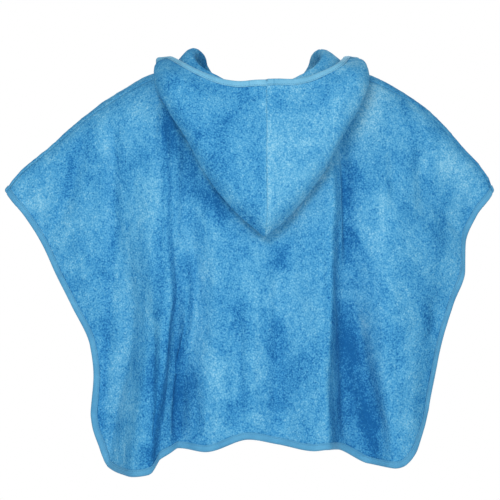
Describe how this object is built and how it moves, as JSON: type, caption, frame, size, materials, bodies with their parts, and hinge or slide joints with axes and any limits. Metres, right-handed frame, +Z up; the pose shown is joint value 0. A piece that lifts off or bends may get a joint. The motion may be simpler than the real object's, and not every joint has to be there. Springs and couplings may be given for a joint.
{
  "type": "hooded bath poncho",
  "caption": "Hollow worn form of a terry bath poncho: two body panels, wide open side edges, and a hood lying down the back, all bound with smooth tape.",
  "frame": {"origin": "middle of the neck hole, level with the top of the shoulders, where the wearer carries the cloth", "axes": "+X across the shoulders to the right as seen from behind, -Y out of the back with the hood, +Y out of the front, +Z up"},
  "size_m": [0.6982, 0.2492, 0.6004],
  "materials": {
    "back_panel": "looped terry towelling",
    "front_panel": "looped terry towelling",
    "hood_left": "looped terry towelling",
    "hood_right": "looped terry towelling",
    "hood_binding": "smooth knitted tape",
    "edge_binding": "smooth knitted tape"
  },
  "bodies": {
    "root": {"back_panel": "back_panel", "front_panel": "front_panel", "hood_left": "hood_left", "hood_right": "hood_right", "hood_binding": "hood_binding", "edge_binding": "edge_binding"}
  },
  "joints": []
}
